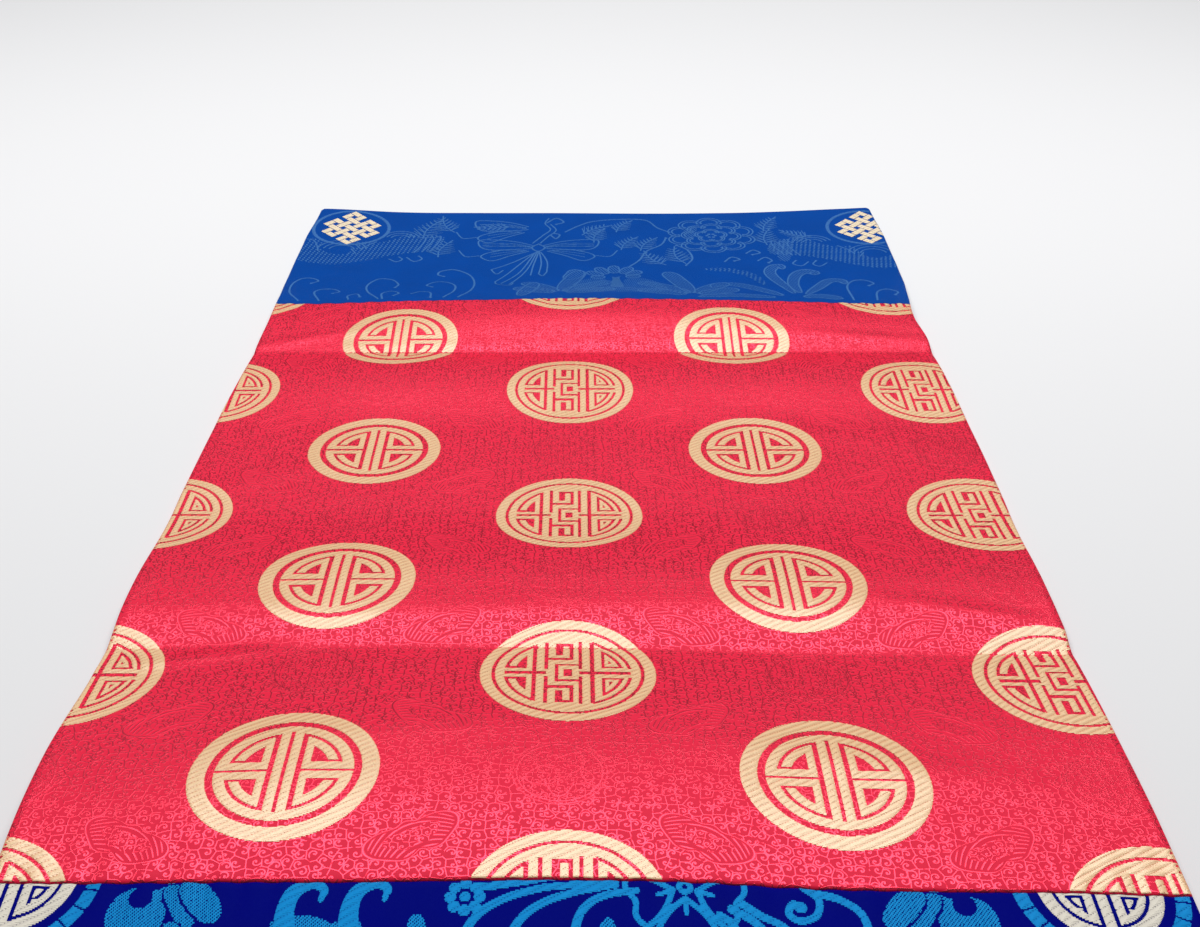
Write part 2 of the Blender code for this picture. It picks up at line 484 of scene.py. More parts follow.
DRAFT_COLUMN = 0.1 * MM
FLOAT_GAP = 0.03 * MM
SHORTEST_FLOAT = 0.22 * MM
SHORT_FLOAT = 1.0 * MM


class Draft:
    """A weaver's draft: a row for each weft and fine columns, in which figures are inked and then woven.

    Its places are on the pattern: across from the middle column of roundels, and along from the near seam.
    """

    def __init__(self, left, right, near, far):
        weft = bpy.context.scene.brocade_roundels.weft
        self.columns = np.arange(left, right, DRAFT_COLUMN)
        self.rows = np.arange(near + weft / 2, far, weft)
        self.ink = np.zeros((len(self.rows), len(self.columns)), bool)

    def window(self, low, high):
        """The part of the draft in a box, as slices, with the places across and along of its cells."""
        first, last = np.searchsorted(self.columns, (low[0], high[0]))
        bottom, top = np.searchsorted(self.rows, (low[1], high[1]))
        part = (slice(bottom, top), slice(first, last))
        return part, self.columns[None, first:last], self.rows[bottom:top, None]

    def stroke(self, path, widths, inked=True):
        """Inks a line along a path, as wide at each point as widths says."""
        halves = np.broadcast_to(np.asarray(widths, float) / 2, (len(path),))
        for a, b, wide_a, wide_b in zip(path, path[1:], halves, halves[1:]):
            reach = max(wide_a, wide_b)
            part, x, y = self.window(np.minimum(a, b) - reach, np.maximum(a, b) + reach)
            run, rise = b - a
            length2 = max(run * run + rise * rise, 1e-18)
            share = np.clip(((x - a[0]) * run + (y - a[1]) * rise) / length2, 0.0, 1.0)
            away = np.hypot(x - a[0] - share * run, y - a[1] - share * rise)
            self.ink[part][away < wide_a + (wide_b - wide_a) * share] = inked

    def fill(self, outline, inked=True, weave=None):
        """Inks what lies inside a closed outline, or the part of it that a weave's rule picks."""
        part, x, y = self.window(outline.min(0), outline.max(0))
        inside = np.zeros(self.ink[part].shape, bool)
        for (ax, ay), (bx, by) in zip(outline, np.roll(outline, -1, axis=0)):
            if ay != by:
                crosses = (y > min(ay, by)) & (y <= max(ay, by))
                inside ^= crosses & (x < ax + (y - ay) * (bx - ax) / (by - ay))
        if weave:
            inside &= weave(x / MM, y / MM)
        self.ink[part][inside] = inked

    def stamp(self, figure, x, y, radius, scaled=True):
        """Inks a figure given as a rule for places from its middle, in shares of the radius if scaled."""
        part, columns, rows = self.window((x - radius, y - radius), (x + radius, y + radius))
        unit = radius if scaled else 1.0
        self.ink[part] |= figure((columns - x) / unit, (rows - y) / unit)

    def floats(self):
        """The inked runs, cut where slanting ties cross them: start, end and place along of each float."""
        settings = bpy.context.scene.brocade_roundels
        bordered = np.pad(self.ink, ((0, 0), (1, 1))).astype(np.int8)
        changes = np.diff(bordered, axis=1)
        row, first_column = np.nonzero(changes == 1)
        _, past_last = np.nonzero(changes == -1)
        along = self.rows[row]
        start = self.columns[first_column] - DRAFT_COLUMN / 2
        end = self.columns[past_last - 1] + DRAFT_COLUMN / 2
        slope, drop = sin(settings.tie_angle), cos(settings.tie_angle)
        first = np.ceil((start * slope - along * drop) / settings.tie_step)
        last = np.floor((end * slope - along * drop) / settings.tie_step)
        pieces = (last - first + 2).astype(int)
        which = np.repeat(np.arange(len(start)), pieces)
        order = np.arange(len(which)) - np.repeat(np.cumsum(pieces) - pieces, pieces)
        tie = (first[which] + order) * settings.tie_step
        after = (tie + along[which] * drop) / slope
        before = after - settings.tie_step / slope
        start = np.where(order == 0, start[which], before + FLOAT_GAP)
        end = np.where(order == pieces[which] - 1, end[which], after - FLOAT_GAP)
        along = along[which]
        kept = end - start > SHORTEST_FLOAT
        return start[kept], end[kept], along[kept]


def kept_on_cloth(start, end, along, near, far):
    """The floats, cut off a little inside the cloth's side edges and between two places along."""
    margin = 0.35 * MM
    left, right = side_edges(along)
    start = np.maximum(start, left - PATTERN_MIDDLE + margin)
    end = np.minimum(end, right - PATTERN_MIDDLE - margin)
    kept = (end - start > SHORTEST_FLOAT) & (along > near + margin) & (along < far - margin)
    return start[kept], end[kept], along[kept]


def woven_piece(name, floats, near, far, rise, material):
    """A piece of crowned weft floats that lie on the cloth, each tied down at its two ends."""
    weft = bpy.context.scene.brocade_roundels.weft
    start, end, along = kept_on_cloth(*floats, near, far)
    short = end - start < SHORT_FLOAT
    parts = []
    for group, stations, heights in (
        (short, (0.0, 1.0), (0.75, 0.75)),
        (~short, (0.0, 0.5, 1.0), (0.25, 1.0, 0.25)),
    ):
        lengthwise = np.array(stations)
        crosswise = np.array([-0.5, 0.0, 0.5])
        crown = np.array([0.93, 1.0, 0.93])
        size = (int(group.sum()), len(stations), 3)
        x = start[group, None] + (end - start)[group, None] * lengthwise
        across = np.broadcast_to(x[:, :, None], size)
        places = np.broadcast_to(along[group, None, None] + crosswise * weft, size)
        lift = np.broadcast_to(np.array(heights)[:, None] * crown * rise, size)
        # How near each point lies to a tied end of its float, 0 mid-float and 1 at the ends; the weft finishes
        # paint shade with it.
        tied = np.broadcast_to(np.abs(lengthwise * 2 - 1)[None, :, None], size)
        parts.append((across.ravel(), places.ravel(), lift.ravel(), tied.ravel() * (size[1] > 2)))
        grid = np.arange(size[0] * size[1] * 3).reshape(size)
        corners = [grid[:, :-1, :-1], grid[:, 1:, :-1], grid[:, 1:, 1:], grid[:, :-1, 1:]]
        parts[-1] += (np.stack([corner.ravel() for corner in corners], axis=1),)
    across, places, lift, tied = (np.concatenate([part[i] for part in parts]) for i in range(4))
    quads = np.concatenate([parts[0][4], parts[1][4] + len(parts[0][0])])
    points = laid_point(across + PATTERN_MIDDLE, places, lift=lift - 0.01 * MM)
    pattern = np.column_stack([across, places])
    room = np.ptp(pattern, axis=0)
    maps = {"cloth": pattern, "OFBake": (pattern - pattern.min(0)) / room}
    piece = mesh_object(name, points, quads, maps, [material])
    layer = piece.data.attributes.new("tied", "FLOAT", "POINT")
    layer.data.foreach_set("value", tied.astype(np.float32))
    return piece


class Pen:
    """Draws figures on a draft from a place of its own, in millimetres: moved, turned, sized and mirrored."""

    def __init__(self, draft, x, y, turn=0.0, size=1.0, flip=1.0):
        self.draft, self.x, self.y, self.turn, self.size, self.flip = draft, x, y, turn, size, flip

    def at(self, x, y, turn=0.0, size=1.0, flip=1.0):
        """Another pen, placed in this one's own space."""
        spot = self.placed(np.array([[x, y]]))[0] / MM
        turned = self.turn + self.flip * turn
        return Pen(self.draft, spot[0], spot[1], turned, self.size * size, self.flip * flip)

    def placed(self, points):
        angle = radians(self.turn)
        x = points[:, 0] * self.size * self.flip
        y = points[:, 1] * self.size
        turned = np.column_stack([x * cos(angle) - y * sin(angle), x * sin(angle) + y * cos(angle)])
        return (turned + (self.x, self.y)) * MM

    def line(self, points, width, end_width=None, smooth=True, inked=True):
        """A stroke through the points, tapering to end_width."""
        path = smooth_path(points) if smooth else np.asarray(points, float)
        widths = np.linspace(width, width if end_width is None else end_width, len(path))
        self.draft.stroke(self.placed(path), widths * self.size * MM, inked)

    def arc(self, x, y, radius, start, stop, width, end_width=None, inked=True):
        """Part of a circle, from one angle in degrees to another."""
        angles = np.radians(np.linspace(start, stop, max(int(abs(stop - start) / 9), 3)))
        path = np.column_stack([x + radius * np.cos(angles), y + radius * np.sin(angles)])
        self.line(path, width, end_width, smooth=False, inked=inked)

    def fill(self, points, smooth=True, inked=True, weave=None):
        """Everything inside the outline through the points."""
        outline = smooth_path([*points, points[0]]) if smooth else np.asarray(points, float)
        self.draft.fill(self.placed(outline), inked, weave)

    def blade(self, points, width, weave=None, edge=0.0, inked=True):
        """A leaf or petal along a line through the points, filled with a weave and edged with a thin line."""
        path = smooth_path(points)
        ahead = np.gradient(path, axis=0)
        ahead /= np.hypot(ahead[:, 0], ahead[:, 1])[:, None]
        bulge = np.sqrt(np.clip(1 - np.abs(np.linspace(-0.97, 1, len(path))) ** 2.5, 0, 1))
        sideways = np.column_stack([-ahead[:, 1], ahead[:, 0]]) * (bulge * width / 2)[:, None]
        outline = np.concatenate([path + sideways, (path - sideways)[::-1]])
        self.fill(outline, smooth=False, inked=inked, weave=weave)
        if edge:
            self.line(np.vstack([outline, outline[:1]]), edge, smooth=False)

    def hook(self, points, width):
        """A stroke through the points that ends in a round eye."""
        self.line(points, width)
        self.arc(points[-1][0], points[-1][1], width * 0.35, 0, 360, width)

    def spiral(self, x, y, radius, start, turns, width, tightness=0.12):
        """A stroke that winds in to a point, ending in a small round eye."""
        share = np.linspace(0, 1, int(30 * abs(turns)) + 4)
        angles = radians(start) + 2 * pi * turns * share
        reach = radius * (1 - share * (1 - tightness))
        path = np.column_stack([x + reach * np.cos(angles), y + reach * np.sin(angles)])
        self.line(path, width, width * 0.8, smooth=False)
        self.arc(path[-1, 0], path[-1, 1], width * 0.3, 0, 360, width)


def smooth_path(points, steps=7):
    """A smooth curve through the points, with steps places from each to the next."""
    points = np.asarray(points, float)
    before = np.vstack([2 * points[0] - points[1], points[:-2]])
    after = np.vstack([points[2:], 2 * points[-1] - points[-2]])
    share = np.linspace(0, 1, steps, endpoint=False)[None, :, None]
    a, b = points[:-1, None], points[1:, None]
    leaving, arriving = (b - before[:, None]) / 2, (after[:, None] - a) / 2
    path = a * (1 + 2 * share) * (1 - share) ** 2 + b * share**2 * (3 - 2 * share)
    path = path + leaving * share * (1 - share) ** 2 - arriving * share**2 * (1 - share)
    return np.vstack([path.reshape(-1, 2), points[-1:]])


# ----------------------------------------------------------------------------------------------------
# The roundels' charts
# ----------------------------------------------------------------------------------------------------


def barred_roundel(x, y):
    """A ring round a disc of two upright bars and four curled quarters, as a rule on a circle of radius 1."""
    r, side, rise = np.hypot(x, y), np.abs(x), np.abs(y)
    sunk = (r > 0.733) & (r < 0.815)
    sunk |= (side < 0.020) & (rise < 0.63)
    sunk |= (side > 0.120) & (side < 0.174) & (r < 0.612)
    sunk |= (rise < 0.020) & (side > 0.168) & (side < 0.742)
    sunk |= (r > 0.572) & (r < 0.612) & (side > 0.125) & (rise > 0.125)
    sunk |= (rise > 0.125) & (rise < 0.164) & (side > 0.262) & (r < 0.604)
    sunk |= (side > 0.262) & (rise > 0.125) & (r < 0.468)
    return (r < 1) & ~sunk


# The sunk lines of the fretted roundel's middle, mirrored below its mid line, in shares of its radius.
Fret = namedtuple("Fret", "left right low high")
FRETS = (
    Fret(-0.408, -0.362, 0.00, 0.62),
    Fret(0.250, 0.300, 0.00, 0.66),
    Fret(-0.270, -0.230, 0.08, 0.66),
    Fret(0.120, 0.160, 0.08, 0.67),
    Fret(-0.140, -0.060, 0.39, 0.62),
    Fret(-0.140, 0.060, 0.595, 0.635),
    Fret(0.020, 0.060, 0.28, 0.635),
    Fret(-0.240, 0.060, 0.28, 0.335),
    Fret(-0.150, -0.110, 0.00, 0.19),
    Fret(-0.150, 0.145, 0.15, 0.19),
    Fret(-0.050, 0.045, 0.00, 0.075),
    Fret(-0.720, -0.250, 0.00, 0.026),
    Fret(0.128, 0.710, 0.00, 0.026),
)


def fretted_roundel(x, y):
    """A double ring round a stepped fret between two pairs of curled quarters, on a circle of radius 1."""
    r, rise = np.hypot(x, y), np.abs(y)
    sunk = (r > 0.828) & (r < 0.868)
    for fret in FRETS:
        sunk |= (x > fret.left) & (x < fret.right) & (rise >= fret.low) & (rise < fret.high)
    sunk &= (r < 0.72) | (r > 0.82)
    sunk |= (r > 0.690) & (r < 0.728) & ((x < -0.39) | (x > 0.28)) & (rise > 0.10)
    sunk |= (x < -0.470) & (rise > 0.100) & (rise < 0.140) & (r < 0.722)
    sunk |= (x < -0.470) & (rise > 0.100) & (r < 0.605)
    sunk |= (x > 0.382) & (x < 0.418) & (rise > 0.108) & (r < 0.625)
    sunk |= (x > 0.382) & (rise > 0.108) & (rise < 0.146) & (r < 0.645)
    sunk |= (x > 0.382) & (rise > 0.108) & (r > 0.596) & (r < 0.634)
    sunk |= (x > 0.462) & (rise > 0.198) & (r < 0.540)
    return (r < 1) & ~sunk


def hooked_roundel(x, y):
    """The blue bands' own roundel: a disc with a barred middle and a squared hook on each side."""
    r, side, rise = np.hypot(x, y), np.abs(x), np.abs(y)
    sunk = (side > 0.09) & (side < 0.15) & (rise < 0.78)
    sunk |= (r > 0.72) & (r < 0.78) & (side > 0.09)
    sunk |= (rise < 0.03) & (side > 0.15) & (side < 0.74)
    sunk |= (side > 0.30) & (side < 0.36) & (rise > 0.16) & (r < 0.60)
    sunk |= (rise > 0.16) & (rise < 0.22) & (side > 0.30) & (side < 0.58)
    sunk |= (r > 0.54) & (r < 0.60) & (side > 0.30) & (rise > 0.16) & (rise < 0.42)
    return (r < 1) & ~sunk


# ----------------------------------------------------------------------------------------------------
# The blue bands' figures, each drawn with a pen whose own space is in millimetres
# ----------------------------------------------------------------------------------------------------

KNOT_HOLES = ((1, 0), (0, 1), (2, 1), (0, 3))  # right and upper holes; the others mirror them
KNOT_STEP = 4.45 * MM
KNOT_STRAP = 3.3 * MM


def endless_knot(x, y):
    """A knot of crossing straps with three loops to each side, as a rule for places from its middle."""
    inked = np.zeros(np.broadcast(x, y).shape, bool)
    side, rise = np.abs(x) / KNOT_STEP, np.abs(y) / KNOT_STEP
    half = KNOT_STRAP / KNOT_STEP / sqrt(2)
    for right, up in KNOT_HOLES:
        inked |= np.abs(np.abs(side - right) + np.abs(rise - up) - 1) < half
    # Where one strap passes under another, a thin line is left open on each side of the upper one.
    rising, falling = (x + y) / KNOT_STEP / 2, (x - y) / KNOT_STEP / 2
    for one, other, turn in ((rising, falling, 0), (falling, rising, 1)):
        cross = (np.round(one) + np.round(other)) % 2 == turn
        beside = np.abs(np.abs(one - np.round(one)) - half / 2 - 0.045) < 0.035
        inked &= ~(cross & beside & (np.abs(other - np.round(other)) < half / 2 + 0.05))
    return inked


def beads(x, y):
    """Short upright dashes in staggered rows."""
    return (((x + 0.35 * y) / 2.3 + 0.5 * np.floor(y / 2.2)) % 1 < 0.36) & (y / 2.2 % 1 < 0.72)


def ribs(x, y):
    """Close slanting lines."""
    return (x + 0.45 * y) / 1.5 % 1 < 0.34


def grain(x, y):
    """Fine upright lines, close together."""
    return (x + 0.12 * y) / 1.0 % 1 < 0.3


def thread_hatch(x, y):
    """A fine twill that is almost filled."""
    return (x - 0.9 * y) / 0.95 % 1 < 0.74


def nested_arcs(pen, x, y, radius, start, stop, width, shares=(1.0, 0.76, 0.52)):
    for share in shares:
        pen.arc(x, y, radius * share, start, stop, width)


def cloud_bank(pen, line):
    """A bank of beaded cloud that rises in steps, with scalloped tops."""
    bank = [(-24, 8), (-21, 26), (-14, 24), (-12, 12), (-2, 6), (4, 12), (8, 24), (14, 22), (24, 28)]
    bank += [(32, 36), (42, 34), (50, 30), (48, 14), (36, 10), (26, 6), (12, -2), (-4, -8), (-22, -2)]
    pen.fill(bank, weave=beads)
    nested_arcs(pen, -2, 12, 13, 15, 165, line)
    pen.line([(8, 12), (10, 18), (15, 24)], line)
    pen.line([(6, 8), (3, 14)], line)
    pen.line([(-22, 26), (-18, 24), (-15, 16), (-14, 11)], line)
    nested_arcs(pen, 27, 28, 10, 20, 160, line)
    for x in (40, 44, 48):
        pen.line([(x - 4, 2 + x * 0.2), (x, 16 + x * 0.2), (x, 22 + x * 0.2), (x - 3, 30)], line)
    pen.hook([(24, 0), (28, -4), (31, -1), (29, 3)], line)
    pen.hook([(33, 2), (37, -3), (41, 0), (39, 4)], line)


def bow_loop(pen, line):
    """One loop of a ribbon, with its creases."""
    pen.line([(3, 3), (12, 8), (22, 10.5), (31, 10), (30, 1), (24, -3), (10, -2), (3, -1)], line * 1.2)
    for share in (0.75, 0.5, 0.25):
        pen.line([(4, 2 * share), (14, 7.5 * share), (29, 9 * share - 1)], line * 0.8)
    pen.line([(5, -5), (14, -11), (23, -18), (29, -13), (27, -8), (20, -4)], line * 1.2)
    for share in (0.8, 0.55, 0.3):
        pen.line([(6, -4), (16, -11 * share), (24, -16 * share)], line * 0.8)
    pen.line([(30, -11), (37, -12), (41, -4)], line)


def ribbon_bow(pen, line):
    """A tied ribbon: an oval knot, two pairs of loops and tails that fall in a fan."""
    pen.line([(0, 5), (3.4, 0), (0, -5), (-3.4, 0), (0, 5)], line * 1.3)
    for side in (-1, 1):
        bow_loop(pen.at(0, 0, flip=side), line)
    for foot, mid, end in (
        ((-4, -10), (-14, -22), (-23, -30)),
        ((-3, -10), (-12, -30), (-20, -49)),
        ((-2, -9), (-8, -32), (-17, -53)),
        ((-1, -9), (-5, -30), (-13, -55)),
        ((0, -9), (-2, -25), (-3, -38)),
        ((1, -9), (2, -22), (1, -36)),
        ((2, -8), (5, -20), (5, -33)),
    ):
        pen.line([(0, -5), foot, mid, end], line)
    pen.line([(-23, -30), (-20, -36), (-17, -31)], line)
    pen.line([(-20, -49), (-19, -54), (-13, -57), (-11, -52)], line)
    pen.line([(1, -36), (3, -39), (5, -33)], line)
    pen.line([(-3, 6), (2, 16), (6, 24), (3, 32), (5, 39)], line)
    pen.line([(1, 6), (5, 15), (9, 23), (6, 31)], line)


def fern(pen, length, line, pairs=6):
    """A curved stem with paired barbs."""
    pen.line([(0, 0), (length * 0.35, length * 0.10), (length * 0.7, length * 0.08), (length, 0)], line)
    y = length * 0.07
    for i in range(pairs):
        x = length * (0.12 + 0.84 * i / pairs)
        reach = length * 0.17 * (1.25 - i / pairs)
        for side in (-1, 1):
            pen.line([(x, y), (x + reach * 0.7, y + side * reach * 1.2)], line, line * 0.6)
            foot, tip = (x + reach * 0.2, y + side * reach * 0.2), (x + reach * 1.3, y + side * reach * 1.5)
            pen.line([foot, tip], line * 0.8, line * 0.5)


def open_peony(pen, line):
    """A large flower in outline: rings of double scallops round a beaded heart."""
    for ring, (radius, petals) in enumerate(((20, 10), (13, 8), (6.5, 5))):
        for i in range(petals):
            petal = pen.at(0, 0, turn=360 / petals * (i + 0.5 * (ring % 2)) + 18)
            size = pi * radius / petals * 1.05
            nested_arcs(petal, radius - size * 0.5, 0, size, -100, 100, line, shares=(1.0, 0.7))
    for i in range(6):
        pen.at(0, 0, turn=60 * i).arc(2.2, 0, 0.5, 0, 360, line)


def tree_in_vase(pen, line):
    """A round vase with a small tree in it, between heaps of plump leaves."""
    body = [(-20, -24), (-21, -8), (-13, 3), (-5, 2), (-3, -9), (3, -9), (5, 2), (14, 3), (22, -8), (21, -24)]
    pen.fill(body, weave=grain)
    pen.line([(-11, -19), (-2, -15), (10, -18)], line * 1.4)
    pen.line([(-10, -22), (0, -19), (12, -23)], line * 1.2)
    pen.fill([(-3, -14), (-1.5, 4), (-4, 9), (0, 5), (4, 9), (2, 4), (3.5, -14)], weave=thread_hatch)
    for turn, length in ((90, 18), (118, 18), (142, 17), (62, 18), (38, 17), (165, 12), (15, 13)):
        spine = [(length * 0.45, 0), (length * 0.75, 0.5), (length, 0)]
        pen.at(0, 4, turn=turn).blade(spine, 5.5, ribs, line)


def heap_of_leaves(pen, line):
    """Plump hatched leaves that lean out from one foot, each with a hooked tip."""
    for turn, length, bend in ((96, 44, 4), (120, 34, 6), (146, 26, 5), (66, 28, -5), (40, 24, -4)):
        spine = [(4, 0), (length * 0.5, bend * 0.4), (length * 0.85, bend), (length, bend * 1.6)]
        pen.at(0, 0, turn=turn).blade(spine, 8.5, ribs, line)


def plumes(pen, line):
    """Hatched plumes that spread from one foot and curl over at their tips."""
    for spine, width in (
        ([(0, 4), (-4, 22), (-7, 38), (-5, 46), (-1, 48), (0, 44)], 5.6),
        ([(3, 5), (2, 20), (5, 34), (10, 40), (15, 38), (13, 36)], 5.8),
        ([(-6, 0), (-16, 10), (-25, 18), (-34, 19), (-38, 13)], 6.4),
        ([(6, 3), (13, 14), (20, 25), (26, 25), (27, 20)], 5.2),
        ([(-10, -3), (-30, -1), (-46, -4)], 5.0),
        ([(4, -1), (14, 0), (22, -3)], 5.5),
    ):
        pen.blade(spine, width, ribs, line)


def rosette(pen, radius):
    """A small flower of eight round petals round a round eye."""
    for i in range(8):
        petal = pen.at(0, 0, turn=45 * i)
        petal.arc(radius * 0.72, 0, radius * 0.13, 0, 360, radius * 0.34)
        petal.line([(radius * 0.48, 0), (radius * 0.62, 0)], radius * 0.16, smooth=False)
    pen.arc(0, 0, radius * 0.12, 0, 360, radius * 0.30)


def blossom(pen, radius, line):
    """A flower of five notched petals in outline, with stamens between them."""
    for i in range(5):
        petal = pen.at(0, 0, turn=72 * i - 90)
        r, wide = radius, radius * 0.50
        side = [(r * 0.22, 0), (r * 0.5, wide * 0.62), (r * 0.86, wide), (r, wide * 0.55)]
        other_side = [(x, -y) for x, y in side]
        petal.line([*other_side, (r * 0.92, 0), *side[::-1]], line)
        petal.line([(r * 0.24, 0), (r * 0.50, 0)], line, line * 0.8)
        stamen = pen.at(0, 0, turn=72 * i - 54)
        stamen.line([(r * 0.45, 0), (r * 0.80, 0)], line * 0.8)
    pen.arc(0, 0, radius * 0.1, 0, 360, line)


def lotus(pen, line):
    """Half a lotus: broad pointed petals, and a plump hatched leaf that curls round an open eye."""
    leaf = [(-2, -22), (0, -8), (1, 2), (-4, 1), (-9, 1.5), (-13, -1), (-14.5, -6), (-13, -13), (-15, -22)]
    pen.fill(leaf, weave=thread_hatch)
    pen.arc(-7.0, -1.2, 1.4, 0, 360, 3.0, inked=False)
    pen.line([(-6.4, -1), (-5.8, 3)], 3.6, smooth=False, inked=False)
    for spine, width in (
        ([(-1, 2), (3, -3), (7, -10)], 5.4),
        ([(3, 3), (8, -2), (13, -8)], 7.2),
        ([(1, -8), (4, -14), (5, -21)], 5.5),
        ([(1, 3), (-3, 8), (-2, 14)], 5.0),
        ([(5, 4), (11, 7), (18, 7)], 5.6),
    ):
        pen.blade(spine, width + 1.3, inked=False)
        pen.blade(spine, width, thread_hatch)


def comma_leaf(pen):
    """A plump leaf that tapers into a hooked tip."""
    pen.line([(8, -14), (3, -6), (1.6, 1), (3, 6.6), (7, 8.9), (10.2, 7.4), (9.8, 4.6)], 6.2, 1.4)


def scroll(pen, width):
    """A long stroke that winds round into an open eye."""
    pen.hook([(0, 14), (7, 12), (11, 4), (8, -5), (0, -7), (-5, -2), (-2, 4), (3, 3)], width)


def segmented_ring(pen, radius, wide, gaps):
    """A broad ring cut into short lengths."""
    pen.arc(0, 0, radius, 0, 360, wide)
    for i in range(gaps):
        cut = pen.at(0, 0, turn=360 / gaps * (i + 0.3))
        cut.line([(radius - wide, 0), (radius + wide, 0)], 0.5, smooth=False, inked=False)


def wave_border(pen, left, right, line):
    """A border of two rows of sea waves, each of nested arcs."""
    step = 14.0
    for row in range(2):
        for i in range(int((right - left) / step) + 2):
            x = left + step * (i + 0.5 * row)
            nested_arcs(pen, x, step / 2 * row, step / 2, 0, 180, line, (1.0, 0.74, 0.48, 0.22))


# The bands' own roundels, in millimetres, and how far each band's draft reaches: left, right, near and far.
FAR_ROUNDELS = ((-115.3, 473.0), (158.3, 471.0))
NEAR_ROUNDELS = ((-134.5, 3.8), (-134.5, -88.2), (133.3, 3.8), (133.3, -88.2))
HOOKED_RADIUS = 15.5 * MM
KNOT_REACH = 25 * MM
FAR_DRAFT = (-0.142, 0.172, FAR_SEAM, FAR_END)
NEAR_DRAFT = (-0.142, 0.162, NEAR_END, NEAR_SEAM)


def far_band_figures():
    """The far band's fine pale figures, on a draft."""
    draft = Draft(*FAR_DRAFT)
    page = Pen(draft, 0, 0)
    line = 0.75
    for x, y in FAR_ROUNDELS:
        page.arc(x, y, 20.2, 0, 360, 1.9)
    cloud_bank(page.at(-115, 433), line)
    cloud_bank(page.at(155, 425, flip=-1), line)
    for volute in (
        [(-127, 370), (-133, 383), (-134, 397), (-131, 405), (-126, 406), (-122, 402), (-125, 398.5)],
        [(-117, 370), (-121, 382), (-119, 388), (-113, 388.5), (-109, 384), (-112, 381)],
        [(-89, 370), (-95, 382), (-97, 394), (-93, 405), (-86, 404), (-82, 396), (-83, 390)],
        [(-87, 370), (-88, 379), (-84, 383), (-80, 379), (-82, 374.5)],
        [(-74, 377), (-70, 381), (-65, 379), (-64, 370)],
        [(-58, 370), (-54, 381), (-54, 392), (-58, 399), (-64, 400), (-68, 394), (-65, 390.5)],
        [(-51, 370), (-46, 382), (-45, 397), (-48, 411), (-56, 419), (-63, 417), (-64, 412), (-61, 409.5)],
        [(-103, 370), (-104, 376), (-100, 379), (-98, 374)],
        [(135, 370), (135, 388), (139, 398), (145, 400), (149, 395), (146, 391)],
        [(146, 370), (148, 381), (153, 386), (158, 382), (156, 377.5)],
        [(31, 422), (37, 432), (41, 444), (49, 453), (52, 462)],
        [(60, 424), (64, 434), (62, 446), (57, 452)],
        [(80, 429), (84, 435), (88, 432), (85, 430)],
        [(92, 440), (96, 444), (99, 440), (95, 438)],
        [(97, 430), (101, 434), (104, 430), (102, 427)],
        [(-9, 466), (-6, 461), (-4, 466), (-7, 468)],
        [(-11, 482), (-6, 488), (-2, 483), (-6, 480)],
        [(-1, 470), (6, 478), (14, 484), (28, 487), (42, 486), (48, 476), (54, 470)],
    ):
        page.hook(volute, line * 1.35)
    ribbon_bow(page.at(-15, 449), line)
    bow_loop(page.at(-18, 474, flip=-1), line)
    for x, y, turn, length in (
        (50, 425, 118, 22), (60, 427, 100, 24), (28, 446, 62, 20), (38, 445, 62, 20), (14, 456, 72, 20),
        (26, 470, 60, 18), (8, 466, 40, 20), (104, 452, 80, 22), (-30, 478, 184, 20), (104, 470, 65, 20),
        (128, 462, 150, 18), (-66, 436, 76, 24), (-76, 462, 70, 26), (-60, 470, 110, 22),
    ):
        fern(page.at(x, y, turn=turn), length, line)
    for x, y in ((108, 446), (114, 450), (112, 437), (66, 470)):
        page.at(x, y, turn=80).blade([(-9, 0), (0, 1), (9, 0)], 7, ribs)
    open_peony(page.at(76, 465), line)
    tree_in_vase(page.at(24, 402), line)
    heap_of_leaves(page.at(60, 372), line)
    heap_of_leaves(page.at(-3, 374, flip=-1), line)
    page.at(4, 412).blade([(-4, -8), (0, 0), (0, 7)], 9, ribs, line)
    page.at(-18, 384).blade([(-4, -13), (0, 0), (3, 14)], 7, ribs, line)
    plumes(page.at(108, 374), line)
    page.blade([(96, 392), (92, 408), (82, 417), (68, 419)], 5.5, beads)
    return draft


